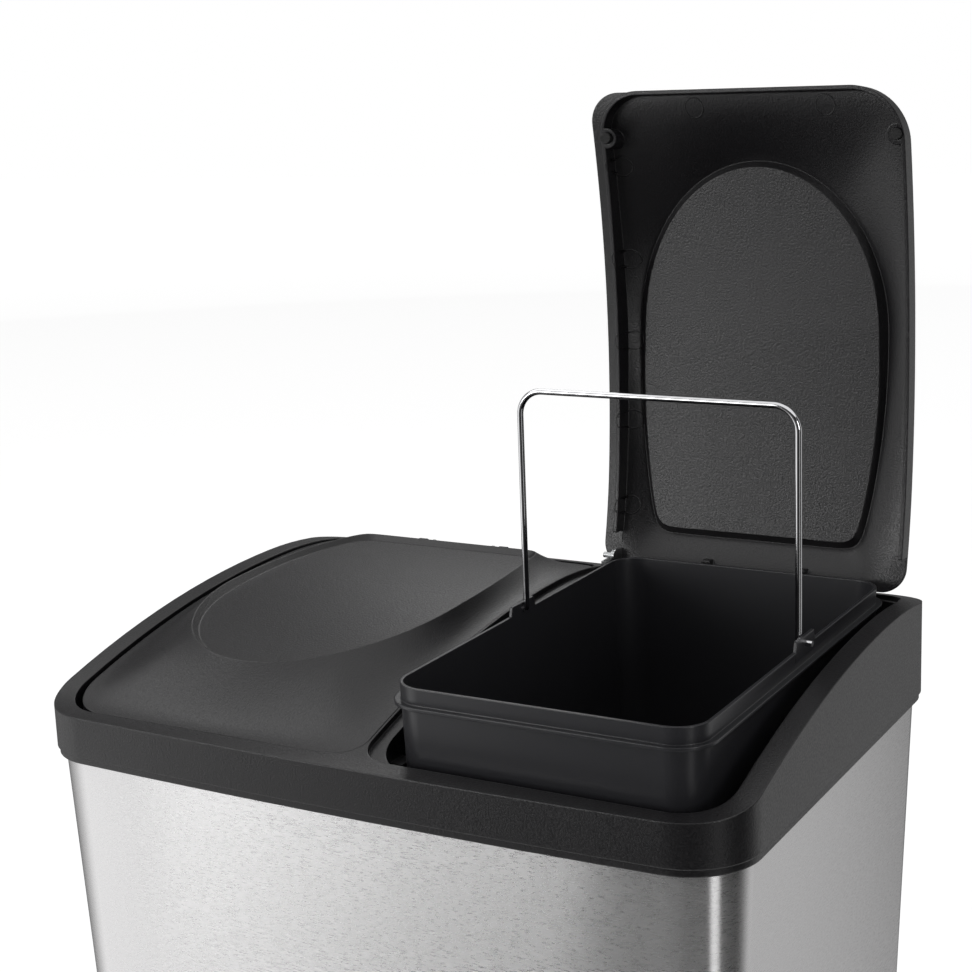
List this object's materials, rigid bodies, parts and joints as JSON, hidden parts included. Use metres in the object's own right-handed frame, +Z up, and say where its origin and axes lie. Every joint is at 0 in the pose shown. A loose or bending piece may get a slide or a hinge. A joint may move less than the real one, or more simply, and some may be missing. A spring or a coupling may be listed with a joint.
{
  "type": "double recycling bin",
  "caption": "Step recycling bin with side-by-side compartments: steel body, moulded rim, domed lids on rear hinges, lift-out buckets with wire bails, pedals below.",
  "frame": {"origin": "on the floor under the middle of the cabinet's plan", "axes": "+Z up, -Y towards the front with the pedals, +X to the right seen from the front"},
  "size_m": [0.47, 0.3833, 0.8246],
  "materials": {
    "brushed_stainless": "horizontally brushed stainless steel sheet",
    "charcoal_plastic": "fine-textured charcoal moulded polypropylene",
    "black_plastic": "satin black moulded polypropylene",
    "black_rubber": "matt black rubber",
    "zinc_steel": "zinc-plated pressed steel",
    "chromed_wire": "bright plated steel wire"
  },
  "bodies": {
    "cabinet": {"steel_shell": "brushed_stainless", "collar_frame": "charcoal_plastic", "base_tray": "charcoal_plastic", "rubber_feet": "black_rubber", "rod_cover": "black_plastic", "hinge_screws": "zinc_steel", "left_hinge_bracket": "zinc_steel", "right_hinge_bracket": "zinc_steel", "left_hinge_pin": "zinc_steel", "right_hinge_pin": "zinc_steel", "pedal_axle": "zinc_steel"},
    "left_lid_unit": {"left_lid": "charcoal_plastic", "left_lid_crank": "zinc_steel", "left_lid_bumpers": "black_rubber"},
    "left_bucket_unit": {"left_bucket": "black_plastic"},
    "left_bail_unit": {"left_bail": "chromed_wire"},
    "left_pedal_unit": {"left_pedal": "charcoal_plastic", "left_pedal_lever": "zinc_steel"},
    "left_rod_unit": {"left_push_rod": "zinc_steel"},
    "right_lid_unit": {"right_lid": "charcoal_plastic", "right_lid_crank": "zinc_steel", "right_lid_bumpers": "black_rubber"},
    "right_bucket_unit": {"right_bucket": "black_plastic"},
    "right_bail_unit": {"right_bail": "chromed_wire"},
    "right_pedal_unit": {"right_pedal": "charcoal_plastic", "right_pedal_lever": "zinc_steel"},
    "right_rod_unit": {"right_push_rod": "zinc_steel"}
  },
  "joints": [
    {"name": "left_lid_hinge", "type": "hinge", "parent": "cabinet", "child": "left_lid_unit", "pos_m": [-0.115, 0.163, 0.498], "axis": [-1, 0, 0], "range_deg": [0, 95]},
    {"name": "left_pedal_hinge", "type": "hinge", "parent": "cabinet", "child": "left_pedal_unit", "pos_m": [-0.01, 0, 0.03], "axis": [1, 0, 0], "range_deg": [0, 9.02]},
    {"name": "left_rod_slide", "type": "slide", "parent": "cabinet", "child": "left_rod_unit", "axis": [0, 0, 1], "range_m": [0, 0.02311]},
    {"name": "left_bucket_lift", "type": "slide", "parent": "cabinet", "child": "left_bucket_unit", "axis": [0, 0, 1], "range_m": [0, 0.05801]},
    {"name": "left_bail_hinge", "type": "hinge", "parent": "left_bucket_unit", "child": "left_bail_unit", "pos_m": [-0.115, 0.002, 0.453], "axis": [-1, 0, 0], "range_deg": [0, 88]},
    {"name": "right_lid_hinge", "type": "hinge", "parent": "cabinet", "child": "right_lid_unit", "pos_m": [0.115, 0.163, 0.498], "axis": [-1, 0, 0], "range_deg": [-95, 0]},
    {"name": "right_pedal_hinge", "type": "hinge", "parent": "cabinet", "child": "right_pedal_unit", "pos_m": [0.01, 0, 0.03], "axis": [1, 0, 0], "range_deg": [-9.02, 0]},
    {"name": "right_rod_slide", "type": "slide", "parent": "cabinet", "child": "right_rod_unit", "axis": [0, 0, 1], "range_m": [-0.02311, 0]},
    {"name": "right_bucket_lift", "type": "slide", "parent": "cabinet", "child": "right_bucket_unit", "axis": [0, 0, 1], "range_m": [-0.05801, 0]},
    {"name": "right_bail_hinge", "type": "hinge", "parent": "right_bucket_unit", "child": "right_bail_unit", "pos_m": [0.115, 0.002, 0.511], "axis": [-1, 0, 0], "range_deg": [-88, 0]}
  ],
  "couplings": [
    {"joint": "left_pedal_hinge", "follows": "left_lid_hinge", "ratio": 0.094842},
    {"joint": "left_rod_slide", "follows": "left_lid_hinge", "m_per_rad": 0.013932},
    {"joint": "left_bucket_lift", "follows": "left_lid_hinge", "m_per_rad": 0.034981},
    {"joint": "left_bail_hinge", "follows": "left_lid_hinge", "ratio": 0.92632},
    {"joint": "right_pedal_hinge", "follows": "right_lid_hinge", "ratio": 0.094842},
    {"joint": "right_rod_slide", "follows": "right_lid_hinge", "m_per_rad": 0.013932},
    {"joint": "right_bucket_lift", "follows": "right_lid_hinge", "m_per_rad": 0.034981},
    {"joint": "right_bail_hinge", "follows": "right_lid_hinge", "ratio": 0.92632}
  ]
}
